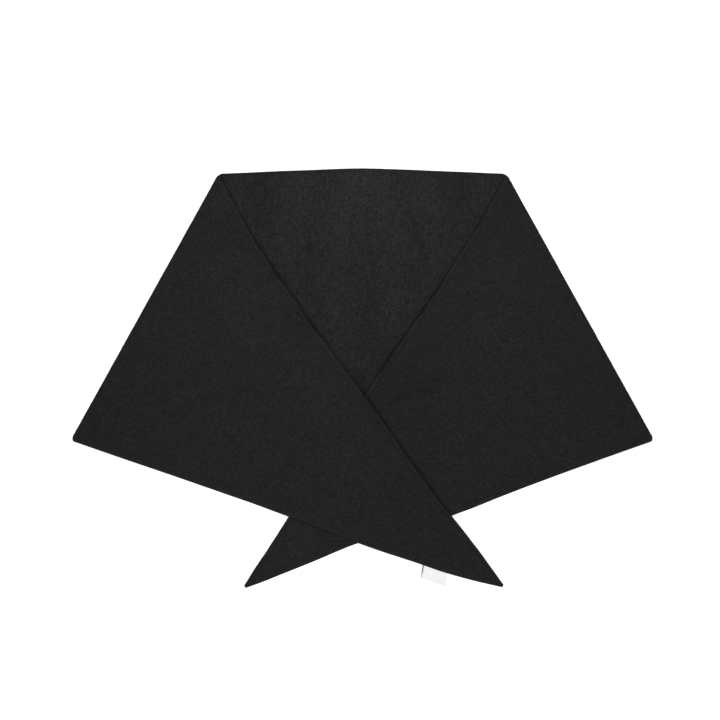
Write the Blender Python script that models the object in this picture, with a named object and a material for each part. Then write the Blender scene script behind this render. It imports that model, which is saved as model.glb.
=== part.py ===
"""Muffler scarf of thick brushed cloth, laid flat and folded so that its two tails cross in front.

The scarf is one long trapezoid: a long upper edge, a short lower edge and slanted ends that run out into
pointed tails. It is folded over at both sides, the right tail lies on the middle of the scarf, and the
left tail lies on both. X runs across the scarf, Y up towards the neck edge, and Z up from the surface
that it lies on. The origin is on that surface, under the middle of the laid outline.

Sizes are in millimetres until a mesh is made. On each front, "reach" is the distance in from that side's
fold line, and "run" is the distance down along the fold line from its upper corner.
"""

import math

import bmesh
import bpy
import numpy as np

MM = 0.001

# The laid outline: the fold lines run from the ends of the neck edge to the ends of the hem.
NECK_SPAN = 336.0
HEM_SPAN = 680.2
NECK_Y = 238.0
HEM_Y = -72.3
NECK_RISE = 6.3
NECK_RISE_ROUND = 0.1

# The cloth and how its layers lie.
CLOTH = 3.0
SEAM_GAP = 0.3
LAYER_GAP = 0.4
LAYER = CLOTH + LAYER_GAP
HALF = CLOTH / 2.0

# The rolled folds at the two sides.
FOLD_HOLLOW = 0.6
FOLD_RADIUS = FOLD_HOLLOW + HALF
FOLD_REACH = FOLD_RADIUS + HALF
FOLD_SETTLE = 14.0
FOLD_STEPS = 8
TURN_UNDER = 6.0
NECK_CORNER_RADIUS = 3.5
HEM_CORNER_RADIUS = 5.0

# How an upper layer comes down past the edge of the one under it.
DRAPE_START = 16.0
DRAPE_WIDTH = 30.0
DRAPE_STAGGER = 12.0

# Edge rows of each front, as distances from its own fold. The last row is the middle of the rounded tip.
#             reach  inner  lower
LEFT_EDGES = [
    (0.0, 0.0, 354.8),
    (60.0, 37.4, 344.4),
    (120.0, 69.9, 333.9),
    (180.0, 99.5, 323.5),
    (240.0, 127.2, 313.2),
    (300.0, 154.2, 304.1),
    (360.0, 183.9, 295.5),
    (420.0, 212.0, 284.6),
    (460.0, 228.8, 277.4),
    (490.0, 242.2, 270.1),
    (521.9, 257.4, 261.0),
]
RIGHT_EDGES = [
    (0.0, 0.0, 354.8),
    (60.0, 36.8, 344.8),
    (120.0, 69.5, 335.5),
    (180.0, 98.7, 326.7),
    (240.0, 128.4, 318.7),
    (300.0, 161.7, 306.1),
    (360.0, 195.1, 292.3),
    (420.0, 228.4, 285.2),
    (460.0, 250.1, 280.2),
    (480.0, 260.3, 277.7),
    (499.0, 270.9, 274.6),
]

# Soft ripples of the back stretch, as crests that fan out from the neck edge.
#   neck x, low x, height, half width
RIPPLES = [
    (-129.0, -153.0, 1.2, 13.0),
    (-69.0, -88.0, 1.7, 15.0),
    (-8.0, -6.0, 1.8, 14.0),
    (45.0, 64.0, 1.6, 14.0),
    (97.0, 120.0, 1.3, 13.0),
]
RIPPLE_LOW_Y = 110.0
RIPPLE_FADE = (25.0, 105.0)
RIPPLE_MARGIN = (6.0, 26.0)

# Places where a front's inner edge lifts off the cloth under it.
#   reach, height, half length, half width
LEFT_LIFTS = [
    (115.0, 1.3, 26.0, 13.0),
    (181.0, 1.5, 30.0, 14.0),
]
RIGHT_LIFTS = [
    (140.0, 1.2, 28.0, 13.0),
    (216.0, 1.4, 26.0, 14.0),
]

# Soft creases of the fronts, as ridges between two points.
#   from x, from y, to x, to y, height, half width
LEFT_CREASES = [
    (-162.0, 64.0, -135.0, 45.0, 0.9, 10.0),
    (-305.0, -54.0, -278.0, -66.0, 0.8, 8.0),
]
RIGHT_CREASES = [
    (48.0, -27.0, 103.0, -9.0, 1.1, 11.0),
    (128.0, 66.0, 164.0, 43.0, 0.9, 10.0),
    (288.0, -50.0, 312.0, -60.0, 0.8, 8.0),
]

# The folded tape in the lower edge of the left tail.
LABEL_REACH = (429.6, 459.6)
LABEL_LENGTH = 15.4
LABEL_THICKNESS = 0.9
LABEL_SKEW = -0.124
LABEL_ROOT_LIFT = 0.8
LABEL_COLUMNS = 6
LABEL_ROWS = 5

# How finely the cloth is divided.
FRONT_COLUMNS = 19
FRONT_STEP = 10.5
BACK_COLUMNS = 20
BACK_SECTIONS = 37
EDGE_ANGLES = (math.radians(50.0), 0.0, math.radians(-50.0))
TIP_ANGLES = (math.radians(35.0), math.radians(65.0))

FOLD_DROP = NECK_Y - HEM_Y
FOLD_SPREAD = (HEM_SPAN - NECK_SPAN) / 2.0
FOLD_LENGTH = math.hypot(FOLD_DROP, FOLD_SPREAD)
RUN_X = FOLD_SPREAD / FOLD_LENGTH
RUN_Y = FOLD_DROP / FOLD_LENGTH

# Colour, roughness and metallic value of each material.
CLOTH_BLACK = ((0.017, 0.017, 0.018, 1.0), 0.95, 0.0)
TAPE_WHITE = ((0.84, 0.84, 0.82, 1.0), 0.55, 0.0)


def clear_objects():
    """Start from an empty scene."""
    for item in list(bpy.data.objects):
        bpy.data.objects.remove(item, do_unlink=True)


def material(name, finish):
    """Plain surface in one colour."""
    colour, roughness, metallic = finish
    made = bpy.data.materials.new(name)
    made.use_nodes = True
    shader = made.node_tree.nodes["Principled BSDF"]
    shader.inputs["Base Color"].default_value = colour
    shader.inputs["Roughness"].default_value = roughness
    shader.inputs["Metallic"].default_value = metallic
    return made


def ease(value, start, end):
    """0 before start, 1 past end, and a soft S between them."""
    share = min(max((value - start) / (end - start), 0.0), 1.0)
    return share * share * (3.0 - 2.0 * share)


def bump(distance, half_width):
    """A soft rounded hump: 1 at no distance, nearly 0 past twice the half width."""
    return math.exp(-((distance / half_width) ** 2))


def smooth_curve(rows, column):
    """Smooth curve through one column of a table, read by the table's first column."""
    places = np.array([row[0] for row in rows])
    values = np.array([row[column] for row in rows])
    slopes = np.gradient(values, places)

    def read(place):
        if place <= places[0]:
            return float(values[0] + slopes[0] * (place - places[0]))
        if place >= places[-1]:
            return float(values[-1] + slopes[-1] * (place - places[-1]))
        i = int(np.searchsorted(places, place)) - 1
        span = places[i + 1] - places[i]
        s = (place - places[i]) / span
        start = (1.0 + 2.0 * s) * (1.0 - s) ** 2 * values[i]
        leave = s * (1.0 - s) ** 2 * span * slopes[i]
        end = s * s * (3.0 - 2.0 * s) * values[i + 1]
        arrive = s * s * (s - 1.0) * span * slopes[i + 1]
        return float(start + leave + end + arrive)

    return read


class Front:
    """One folded-over end of the scarf: its frame along the fold, its two edges and its soft relief."""

    def __init__(self, side, edges, lifts, creases):
        self.side = side
        self.inner = smooth_curve(edges, 1)
        self.lower = smooth_curve(edges, 2)
        self.tip_reach = edges[-1][0]
        self.lifts = lifts
        self.creases = creases

    def plan(self, reach, run):
        """Laid x and y of a place on the front."""
        x = self.side * (NECK_SPAN / 2.0 - RUN_Y * reach + RUN_X * run)
        y = NECK_Y - RUN_X * reach - RUN_Y * run
        return x, y

    def fold_place(self, x, y):
        """Reach and run of a laid x and y."""
        across = NECK_SPAN / 2.0 - self.side * x
        down = NECK_Y - y
        return RUN_Y * across + RUN_X * down, RUN_Y * down - RUN_X * across

    def inset(self, x, y):
        """Distance in from the nearest free edge; below 0 outside the front."""
        reach, run = self.fold_place(x, y)
        slope = (self.inner(reach + 1.0) - self.inner(reach - 1.0)) / 2.0
        from_inner = (run - self.inner(reach)) / math.hypot(1.0, slope)
        return min(from_inner, self.lower(reach) - run, self.tip_reach - reach)

    def relief(self, x, y):
        """Height of the edge lifts and creases."""
        reach, run = self.fold_place(x, y)
        height = 0.0
        for at, high, half_length, half_width in self.lifts:
            from_edge = run - self.inner(reach)
            height += high * bump(reach - at, half_length) * bump(from_edge, half_width)
        for from_x, from_y, to_x, to_y, high, half_width in self.creases:
            along = ((x - from_x) * (to_x - from_x) + (y - from_y) * (to_y - from_y))
            share = min(max(along / ((to_x - from_x) ** 2 + (to_y - from_y) ** 2), 0.0), 1.0)
            away = math.hypot(x - from_x - share * (to_x - from_x), y - from_y - share * (to_y - from_y))
            height += high * bump(away, half_width)
        return height


LEFT = Front(-1.0, LEFT_EDGES, LEFT_LIFTS, LEFT_CREASES)
RIGHT = Front(1.0, RIGHT_EDGES, RIGHT_LIFTS, RIGHT_CREASES)


def neck_edge(x):
    """Laid y of the neck edge, which rises a little to the middle."""
    share = math.hypot(2.0 * x / NECK_SPAN, NECK_RISE_ROUND)
    return NECK_Y + NECK_RISE * (1.0 - share) / (1.0 - NECK_RISE_ROUND)


def ripple(x, y):
    """Height of the back stretch's ripples, which die out towards the fronts and the hidden hem."""
    drop = (NECK_Y - y) / (NECK_Y - RIPPLE_LOW_Y)
    height = 0.0
    for neck_x, low_x, high, half_width in RIPPLES:
        crest_x = neck_x + (low_x - neck_x) * drop
        height += high * bump(x - crest_x, half_width)
    clear_of_fronts = -max(LEFT.inset(x, y), RIGHT.inset(x, y))
    return height * ease(y, *RIPPLE_FADE) * ease(clear_of_fronts, *RIPPLE_MARGIN)


def on_back(y, start):
    """1 over the back stretch, 0 well past its hem."""
    return ease(y - HEM_Y, -start - DRAPE_WIDTH, -start)


def right_height(x, y):
    """Height of the right front's underside."""
    return LAYER * on_back(y, DRAPE_START) + RIGHT.relief(x, y)


def left_height(x, y):
    """Height of the left front's underside, which lies on the back stretch and on the right front."""
    on_right = ease(RIGHT.inset(x, y), -DRAPE_START - DRAPE_WIDTH, -DRAPE_START)
    back_start = DRAPE_START + DRAPE_STAGGER * on_right
    lower_layers = LAYER * (on_back(y, back_start) + on_right) + RIGHT.relief(x, y) * on_right
    return lower_layers + LEFT.relief(x, y)


def section(low, high, half, columns, place):
    """Closed ring round a slice of cloth: its face, one rounded edge, its underside, the other edge."""
    face = [low + half + (high - low - 2.0 * half) * i / columns for i in range(columns + 1)]
    ring = [place(run, half) for run in face]
    ring += [place(face[-1] + half * math.cos(turn), half * math.sin(turn)) for turn in EDGE_ANGLES]
    ring += [place(run, -half) for run in reversed(face)]
    ring += [place(face[0] - half * math.cos(turn), half * math.sin(turn)) for turn in reversed(EDGE_ANGLES)]
    return ring


def loft(name, rings, finish, flip):
    """One closed body through equal rings, capped at both ends."""
    mesh = bpy.data.meshes.new(name)
    shape = bmesh.new()
    loops = [[shape.verts.new([value * MM for value in point]) for point in ring] for ring in rings]
    count = len(loops[0])
    for before, after in zip(loops, loops[1:]):
        for i in range(count):
            j = (i + 1) % count
            shape.faces.new((before[i], before[j], after[j], after[i]))
    shape.faces.new(reversed(loops[0]))
    shape.faces.new(loops[-1])
    if flip:
        bmesh.ops.reverse_faces(shape, faces=shape.faces[:])
    shape.to_mesh(mesh)
    shape.free()
    mesh.shade_smooth()
    mesh.set_sharp_from_angle(angle=math.radians(60.0))
    mesh.materials.append(finish)
    item = bpy.data.objects.new(name, mesh)
    bpy.context.collection.objects.link(item)
    return item


def corner_inset(radius, distance):
    """How far a rounded corner cuts an edge back, at a distance in from the fold."""
    short = max(radius - distance, 0.0)
    return radius - math.sqrt(radius * radius - short * short)


def turned_under_edges(reach):
    """Runs of the neck edge and the hem on the layer under the fold."""
    half_neck = NECK_SPAN / 2.0
    neck_slope = (neck_edge(half_neck - FOLD_REACH) - neck_edge(half_neck)) / FOLD_REACH
    neck = -reach * (RUN_X + RUN_Y * neck_slope) / (RUN_Y - RUN_X * neck_slope)
    hem = FOLD_LENGTH - reach * RUN_X / RUN_Y
    return neck, hem


def make_front(name, front, height_of, finish):
    """A front with its rolled fold: turned under, round the fold, and out to the tip of the tail."""
    rings = []

    def add_ring(reach, height, lean, low, high, half):
        """One slice: lean is the way its face looks, from down, by outward, to up."""
        def place(run, offset):
            outward = offset * math.cos(lean)
            x, y = front.plan(reach - outward, run)
            base = height(run) if callable(height) else height
            return x, y, base + offset * math.sin(lean)
        rings.append(section(low, high, half, FRONT_COLUMNS, place))

    neck, hem = turned_under_edges(TURN_UNDER)
    add_ring(TURN_UNDER, HALF, -math.pi / 2.0, neck, hem, HALF)
    for step in range(FOLD_STEPS + 1):
        lean = math.pi * (step / FOLD_STEPS - 0.5)
        reach = FOLD_REACH - FOLD_RADIUS * math.cos(lean)
        upper = (math.sin(lean) + 1.0) / 2.0
        neck, hem = turned_under_edges(reach)
        low = neck + (front.inner(reach) - neck) * upper
        high = hem + (front.lower(reach) - hem) * upper
        outermost = FOLD_REACH - (FOLD_RADIUS + HALF) * math.cos(lean)
        low += corner_inset(NECK_CORNER_RADIUS, outermost)
        high -= corner_inset(HEM_CORNER_RADIUS, outermost)
        add_ring(reach, HALF + FOLD_RADIUS * (1.0 + math.sin(lean)), lean, low, high, HALF)

    def laid(reach):
        """Height of the cloth's middle along the slice at this reach."""
        loft_left = 2.0 * FOLD_HOLLOW - LAYER_GAP
        rise = loft_left * (1.0 - ease(reach, FOLD_REACH, FOLD_REACH + FOLD_SETTLE))
        return lambda run: HALF + rise + height_of(*front.plan(reach, run))

    flat_length = front.tip_reach - FOLD_REACH
    steps = round(flat_length / FRONT_STEP)
    for step in range(1, steps + 1):
        reach = FOLD_REACH + flat_length * step / steps
        add_ring(reach, laid(reach), math.pi / 2.0, front.inner(reach), front.lower(reach), HALF)
    middle = (front.inner(front.tip_reach) + front.lower(front.tip_reach)) / 2.0
    for turn in TIP_ANGLES:
        reach = front.tip_reach + HALF * math.sin(turn)
        half = HALF * math.cos(turn)
        width = (front.lower(front.tip_reach) - front.inner(front.tip_reach)) / 2.0 - HALF + half
        add_ring(reach, laid(front.tip_reach), math.pi / 2.0, middle - width, middle + width, half)
    return loft(name, rings, finish, front.side > 0.0)


def make_back(name, finish):
    """The middle of the scarf, between the two folds, as slices that fan out from the neck edge."""
    seam = TURN_UNDER + SEAM_GAP
    neck_run, hem_run = turned_under_edges(seam)
    neck_x, _ = RIGHT.plan(seam, neck_run)
    hem_x, _ = RIGHT.plan(seam, hem_run)
    rings = []
    for i in range(BACK_SECTIONS):
        share = 2.0 * i / (BACK_SECTIONS - 1) - 1.0
        top = np.array((share * neck_x, neck_edge(share * neck_x)))
        foot = np.array((share * hem_x, HEM_Y))
        length = float(np.linalg.norm(foot - top))
        way = (foot - top) / length

        def place(run, offset, top=top, way=way):
            x, y = top + way * run
            return x, y, HALF + ripple(x, y) + offset

        rings.append(section(0.0, length, HALF, BACK_COLUMNS, place))
    return loft(name, rings, finish, False)


def make_label(name, finish):
    """The folded tape, from just outside the lower edge of the left tail down onto the surface."""
    rings = []
    for i in range(LABEL_COLUMNS + 1):
        reach = LABEL_REACH[0] + (LABEL_REACH[1] - LABEL_REACH[0]) * i / LABEL_COLUMNS
        root_x, root_y = LEFT.plan(reach, LEFT.lower(reach) + SEAM_GAP)
        ring = []
        for row in range(LABEL_ROWS + 1):
            share = row / LABEL_ROWS
            x = root_x + LABEL_SKEW * LABEL_LENGTH * share
            y = root_y - LABEL_LENGTH * share
            ring.append((x, y, LABEL_ROOT_LIFT * (1.0 - ease(share, 0.0, 0.6))))
        top = [(x, y, z + LABEL_THICKNESS) for x, y, z in ring]
        rings.append(top + list(reversed(ring)))
    return loft(name, rings, finish, False)


def main():
    """Build the scarf's four pieces."""
    clear_objects()
    cloth = material("black_brushed_cloth", CLOTH_BLACK)
    tape = material("white_tape", TAPE_WHITE)
    make_back("back_stretch", cloth)
    make_front("right_front", RIGHT, right_height, cloth)
    make_front("left_front", LEFT, left_height, cloth)
    make_label("label", tape)


main()
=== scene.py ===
"""Looks of the muffler scarf: thick black brushed cloth, laid flat and folded so that its tails cross.

The cloth is cut as one long trapezoid, with turned edges and a row of stitches all round. The photograph
shows that row beside the fronts' inner edges, and it is taken to go on round the rest. The three stretches,
the back and the two folded-over fronts, are closed shells on the form of their solids, each with its
stitches and its nap. A folded tape is sewn into the left tail.

Sizes in the tables and functions are in millimetres, as in the part's source, until a mesh is made.
On each front, "reach" is the distance in from that side's fold line, and "run" is the distance down
along the fold line from its upper corner. "Inset" is the distance in from the nearest free edge.
"""

import math

import bpy
import numpy as np
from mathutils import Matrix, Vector


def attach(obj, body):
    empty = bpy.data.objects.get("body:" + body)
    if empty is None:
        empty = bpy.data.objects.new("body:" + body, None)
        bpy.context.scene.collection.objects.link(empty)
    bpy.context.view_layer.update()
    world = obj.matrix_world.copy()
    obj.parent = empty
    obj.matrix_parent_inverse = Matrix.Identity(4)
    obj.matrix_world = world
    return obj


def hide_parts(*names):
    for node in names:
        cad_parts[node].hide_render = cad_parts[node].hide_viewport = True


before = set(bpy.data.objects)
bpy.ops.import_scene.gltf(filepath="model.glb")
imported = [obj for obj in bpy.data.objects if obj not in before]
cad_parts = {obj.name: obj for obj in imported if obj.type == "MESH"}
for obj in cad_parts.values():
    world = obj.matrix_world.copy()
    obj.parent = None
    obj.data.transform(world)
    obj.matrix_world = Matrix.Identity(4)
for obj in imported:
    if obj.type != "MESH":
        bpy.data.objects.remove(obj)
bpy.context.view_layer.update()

bl_info = {
    "name": "Muffler Scarf",
    "version": (1, 0, 0),
    "blender": (4, 5, 0),
    "location": "3D View > Sidebar > Scarf",
    "description": "Lays out a folded black muffler scarf with its stitches, nap, tape and stage",
    "category": "Object",
}

MM = 0.001

# --- The laid form ---

# The same as in the part's source, but for the ripples, the right front's creases and the tape's slant,
# which follow the photograph more closely. The rows of stitches and the patches of painted light and
# nap tone are only here.

NECK_SPAN = 336.0
HEM_SPAN = 680.2
NECK_Y = 238.0
HEM_Y = -72.3
NECK_RISE = 6.3
NECK_RISE_ROUND = 0.1

CLOTH = 3.0
LAYER_GAP = 0.4
LAYER = CLOTH + LAYER_GAP
HALF = CLOTH / 2.0

FOLD_HOLLOW = 0.6
FOLD_RADIUS = FOLD_HOLLOW + HALF
FOLD_REACH = FOLD_RADIUS + HALF
FOLD_SETTLE = 14.0
TURN_UNDER = 6.0
NECK_CORNER_RADIUS = 3.5
HEM_CORNER_RADIUS = 5.0

DRAPE_START = 16.0
DRAPE_WIDTH = 30.0
DRAPE_STAGGER = 12.0

# Edge rows of each front. The last row is the middle of the rounded tip.
#     reach  inner  lower
LEFT_EDGES = [
    (0.0, 0.0, 354.8), (60.0, 37.4, 344.4), (120.0, 69.9, 333.9), (180.0, 99.5, 323.5),
    (240.0, 127.2, 313.2), (300.0, 154.2, 304.1), (360.0, 183.9, 295.5), (420.0, 212.0, 284.6),
    (460.0, 228.8, 277.4), (490.0, 242.2, 270.1), (521.9, 257.4, 261.0),
]
RIGHT_EDGES = [
    (0.0, 0.0, 354.8), (60.0, 36.8, 344.8), (120.0, 69.5, 335.5), (180.0, 98.7, 326.7),
    (240.0, 128.4, 318.7), (300.0, 161.7, 306.1), (360.0, 195.1, 292.3), (420.0, 228.4, 285.2),
    (460.0, 250.1, 280.2), (480.0, 260.3, 277.7), (499.0, 270.9, 274.6),
]

# Soft ripples of the back stretch, as crests that fan out from the neck edge. They follow the photograph's
# light and dark bands, and the part's source has five plainer ones in other places.
#   neck x, low x, height at the neck, height at the low end, half width
RIPPLES = [
    (-97.0, -120.0, 2.0, 1.6, 25.0),
    (-29.0, -49.0, 1.2, 1.3, 23.0),
    (16.0, 20.0, 0.2, 1.7, 16.0),
    (57.0, 91.0, 1.2, 1.3, 18.0),
    (125.0, 138.0, 1.2, 1.0, 17.0),
]
RIPPLE_LOW_Y = 110.0
RIPPLE_FADE = (25.0, 105.0)
RIPPLE_MARGIN = (6.0, 26.0)

# Places where a front's inner edge lifts off the cloth under it.
#   reach, height, half length, half width
LEFT_LIFTS = [
    (115.0, 1.3, 26.0, 13.0),
    (181.0, 1.5, 30.0, 14.0),
]
RIGHT_LIFTS = [
    (140.0, 1.2, 28.0, 13.0),
    (216.0, 1.4, 26.0, 14.0),
]

# Soft creases of the fronts, as ridges between two points. The part's source has the first of the right
# front's a little higher and wider, and lacks the second.
#   from x, from y, to x, to y, height, half width
LEFT_CREASES = [
    (-162.0, 64.0, -135.0, 45.0, 0.9, 10.0),
    (-305.0, -54.0, -278.0, -66.0, 0.8, 8.0),
]
RIGHT_CREASES = [
    (48.0, -27.0, 106.0, -7.0, 0.8, 8.0),
    (38.0, 26.0, 72.0, 20.0, 0.5, 7.0),
    (128.0, 66.0, 164.0, 43.0, 0.9, 10.0),
    (288.0, -50.0, 312.0, -60.0, 0.8, 8.0),
]

# The inner edge of each front: how hard its stitches pull it in, how far in they run, and how wide the shade
# painted along its turned seam is.
#   reach, pull, distance from the edge, width of the painted shade
LEFT_ROW = [
    (0.0, 0.2, 5.1, 0.6), (36.0, 0.3, 5.3, 1.2), (64.0, 0.5, 5.6, 1.8), (78.0, 0.6, 5.6, 3.2),
    (92.0, 0.7, 5.6, 2.2), (104.0, 0.7, 5.6, 3.0), (115.0, 0.7, 5.6, 5.0), (126.0, 0.7, 5.6, 2.8),
    (160.0, 0.7, 5.6, 2.0), (181.0, 0.7, 5.6, 4.0), (200.0, 0.7, 5.5, 1.4), (244.0, 0.9, 5.3, 1.2),
    (260.0, 1.1, 5.2, 1.8), (276.0, 1.6, 5.1, 3.0), (310.0, 2.0, 5.1, 3.0), (330.0, 2.0, 5.1, 2.0),
    (352.0, 1.9, 5.1, 3.2), (375.0, 1.9, 5.0, 2.2), (415.0, 1.6, 4.4, 2.4), (435.0, 2.0, 3.9, 1.0),
    (480.0, 2.4, 3.3, 0.8), (521.9, 1.4, 3.0, 0.8),
]
RIGHT_ROW = [
    (0.0, 0.8, 5.4, 0.8), (50.0, 1.2, 5.6, 1.6), (120.0, 1.6, 6.0, 1.9), (138.0, 1.7, 6.2, 4.2),
    (152.0, 1.8, 6.4, 2.8), (164.0, 1.8, 6.5, 3.8), (180.0, 1.9, 6.7, 2.2), (202.0, 2.0, 6.9, 3.6),
    (212.0, 2.0, 6.9, 2.8), (228.0, 2.1, 6.9, 4.4), (246.0, 2.1, 6.7, 2.2), (280.0, 1.9, 6.3, 2.0),
    (360.0, 1.2, 5.0, 2.0), (420.0, 0.9, 4.2, 0.8), (499.0, 0.7, 4.0, 0.8),
]
# The other edges: how wide the shade painted along them is, how hard their stitches pull, and how far in they
# run.
OUTER_DARK = 0.8
LOWER_PULL = 0.7
EDGE_ROW = 4.7

# Wide patches painted lighter or darker, partly as light and shade and partly as the nap's brushed tone.
#   x, y, half width, how much lighter
LIGHT_AND_NAP_PATCHES = [
    (50.0, -15.0, 60.0, -0.06), (0.0, 238.0, 86.0, 0.25), (-116.0, 222.0, 16.0, -0.05),
    (114.0, 204.0, 17.0, -0.05), (88.0, 222.0, 18.0, 0.05), (-6.0, 238.0, 26.0, 0.04),
    (-135.0, 80.0, 60.0, 0.04), (140.0, 80.0, 60.0, 0.03), (-58.0, 22.0, 40.0, 0.06),
    (-110.0, 120.0, 40.0, 0.04), (20.0, 26.0, 30.0, -0.06), (-300.0, 10.0, 60.0, -0.04),
    (320.0, 10.0, 60.0, -0.06), (-310.0, -55.0, 45.0, -0.04), (310.0, -55.0, 45.0, -0.05),
    (-255.0, -95.0, 40.0, -0.04), (60.0, -140.0, 40.0, -0.04), (-168.0, 128.0, 20.0, 0.08),
    (-142.0, 68.0, 24.0, 0.05), (-46.0, -38.0, 22.0, 0.08), (-20.0, -95.0, 28.0, 0.04),
    (162.0, 130.0, 20.0, 0.09), (146.0, 66.0, 24.0, 0.05), (-136.0, 226.0, 9.0, 0.08),
    (-72.0, -194.0, 20.0, 0.16), (-100.0, -210.0, 20.0, 0.05), (36.0, 88.0, 20.0, 0.04),
]

# The folded tape, which slants a little more than in the part's source.
LABEL_REACH = (429.6, 459.6)
LABEL_LENGTH = 15.4
LABEL_SKEW = -0.16

FOLD_DROP = NECK_Y - HEM_Y
FOLD_SPREAD = (HEM_SPAN - NECK_SPAN) / 2.0
FOLD_LENGTH = math.hypot(FOLD_DROP, FOLD_SPREAD)
RUN_X = FOLD_SPREAD / FOLD_LENGTH
RUN_Y = FOLD_DROP / FOLD_LENGTH

# --- How finely things are divided ---

FRONT_STEP = 1.9
FOLD_STEPS = 18
BACK_SLICES = 186
TIP_TURNS = np.radians((18.0, 36.0, 54.0, 70.0, 82.0))
SEAM_CLEAR = 0.01
SEAM_SETTLE = 9.0

# Columns beside each free edge, as insets, and those of them that the underside has too.
EDGE_COLUMNS = np.array(
    (0.0, 0.2, 0.55, 1.05, 1.7, 2.4, 3.1, 3.8, 4.3, 4.8, 5.3, 5.8, 6.3, 6.9, 7.8, 9.3, 10.6, 12.0, 15.0)
)
EDGE_COLUMNS_UNDER = (0, 3, 4, 6, 8, 9, 10, 12, 14, 16, 18)
MIDDLE_COLUMNS = 100
MIDDLE_UNDER_EVERY = 4
EDGE_ZONE_SHARE = 0.4

# --- Edge, stitches, nap, tape and stage ---

# The free edge. It is taken to be two faces that meet in a seam at half the thickness, and each rounds over
# to it. The photograph doesn't show whether it has one face or two.
SEAM_LIP = 0.3
SEAM_DEPTH = 0.35
EDGE_ROUNDING = 1.8
EDGE_FULLNESS = 2.3
EDGE_FULL = 0.3
RIM_HALF_WIDTH = 1.2
# The shade painted along an edge: where it starts, how far it blends in, and its least width. The highlight
# painted on the rim: where it fades out, and how far the reverse turns it to shade.
SEAM_START = 0.2
SEAM_BLEND = 2.0
LEAST_DARK = 0.4
RIM_LIGHT_FADE = (4.6, 6.2)
REVERSE_RIM_SHADE = 1.5
# How the turned-in allowance blends in, how much of the groove the reverse side has, and the share of the
# groove's depth that comes and goes from one needle hole to the next.
ALLOWANCE_BLEND = 1.3
REVERSE_GROOVE = 0.12
HOLE_SHARE = 0.25

# How far the sewn inner edge strays, as cell, size and seed, and how far from its ends it strays in full.
WOBBLE = ((9.0, 0.22, 31), (30.0, 0.3, 32))
WOBBLE_FULL = 40.0
WOBBLE_END = 5.0

# The cloth's soft unevenness, as cell and seed, where it starts beside an edge, and the lean of a slice
# over which the surface's relief comes in.
UNEVENNESS = ((6.5, 11), (17.0, 12))
UNEVENNESS_START = 3.0
FACES_UP = (-0.9, 0.3)

# How much a slope down the page counts against one to the right, in the light and shade painted on slopes.
DOWN_SHARE = 0.3

# Side of the square of cloth in each stretch's map, and where the upper and the under side start in it.
FRONT_MAP = 535.0
FRONT_MAP_UPPER = (8.0, 104.0)
FRONT_MAP_UNDER = (526.0, 358.0)
BACK_MAP = 684.0
BACK_MAP_UPPER = 332.0
BACK_MAP_UNDER = 6.0

# Threads and hairs share one square map, in which each has one of these cells.
CELLS = 16
CELL_MARGIN = 0.1

# Least distance between the two rows of a narrow slice.
ROWS_APART = 1.0

# A stitch: how it is divided, how far its ends dive, and the share of its radius that it loses towards them,
# how deep it sinks into the reverse and the face, and how its place, in millimetres, and its length vary.
STITCH_SIDES = 6
STITCH_RINGS = 7
STITCH_ARCH = 1.4
STITCH_TAPER = 0.45
STITCH_SINK = {True: 0.7, False: 0.1}
STITCH_STRAY = 0.12
STITCH_LENGTHS = (0.93, 1.05)
STITCH_SEED = 20

# The nap: how much closer it stands within what inset, the room that a root and an end need inside what
# shows, how far hairs turn from along and across the grain, and how they bend, climb and taper.
NAP_SEED = 40
NAP_EDGE = 1.5
NAP_EDGE_INSET = 2.5
ROOT_ROOM = 0.3
END_ROOM = 0.2
ALONG_TURN = 0.4
CROSS_TURN = 1.6
HAIR_BEND = 0.35
LEAST_RISE = 0.1
END_RISE = 0.15
HAIR_SIDES = 3
HAIR_TAPER = np.array((1.0, 0.75, 0.15))
HAIR_THICKNESS = (0.6, 1.3)
HAIR_FLOOR = 1.5

# The tape: how it is divided, how thick it is, where along its fall it starts and ends, where it comes to
# rest, the heights of its two layers there, half their distance in the seam, and how long its fold's nose is.
TAPE_COLUMNS = 34
TAPE_STEPS = 22
TAPE_TURNS = 9
TAPE_THICK = 0.3
TAPE_START = -0.2
TAPE_END = 0.4
TAPE_SETTLE = (0.3, 8.5)
TAPE_REST = (0.2, 0.82)
TAPE_PART = 0.16
TAPE_NOSE = 1.3

# Its thicker selvedges, its lifted right corner, how far it hangs aside, and the dark band along its left
# selvedge: how wide that is, where it begins to fade, and how much of it fades.
TAPE_BEAD = 0.25
TAPE_BEAD_WIDTH = 0.5
TAPE_LIFT = 0.35
TAPE_LIFT_WIDTH = 0.25
TAPE_LIFT_START = 3.0
TAPE_ASIDE = 0.3
TAPE_SELVEDGE = (1.1, 2.2)
TAPE_FADE = 6.0
TAPE_FADED = 0.8

# Its map, in metres: the side of the square, where its inner face starts, and the margin as a share.
TAPE_MAP = 0.067
TAPE_MAP_UNDER = 0.033
TAPE_MAP_MARGIN = 0.01

# Angles past which an edge is shaded sharp.
CLOTH_SHARP = 62.0
TAPE_SHARP = 50.0

# The stage, in metres: the floor, the camera's place over it, the height at which the view's width is
# measured, the lights, and the sensor's width in millimetres.
FLOOR_REACH = 30.0
FLOOR_LEVEL = -0.0002
FLOOR_CORNERS = ((-1.0, -1.0), (1.0, -1.0), (1.0, 1.0), (-1.0, 1.0))
CAMERA_PLACE = (-0.00286, 0.02108)
VIEW_LEVEL = 0.003
SENSOR_WIDTH = 36.0
#   name, place, side of its square, its power in the panel
LIGHTS = (
    ("soft_box", (0.0, 0.38, 1.1), 0.6, "box_power"),
    ("key_light", (-1.5, -4.1, 4.0), 1.6, "key_power"),
    ("top_light", (0.0, 0.1, 3.1), 2.6, "top_power"),
)

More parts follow.
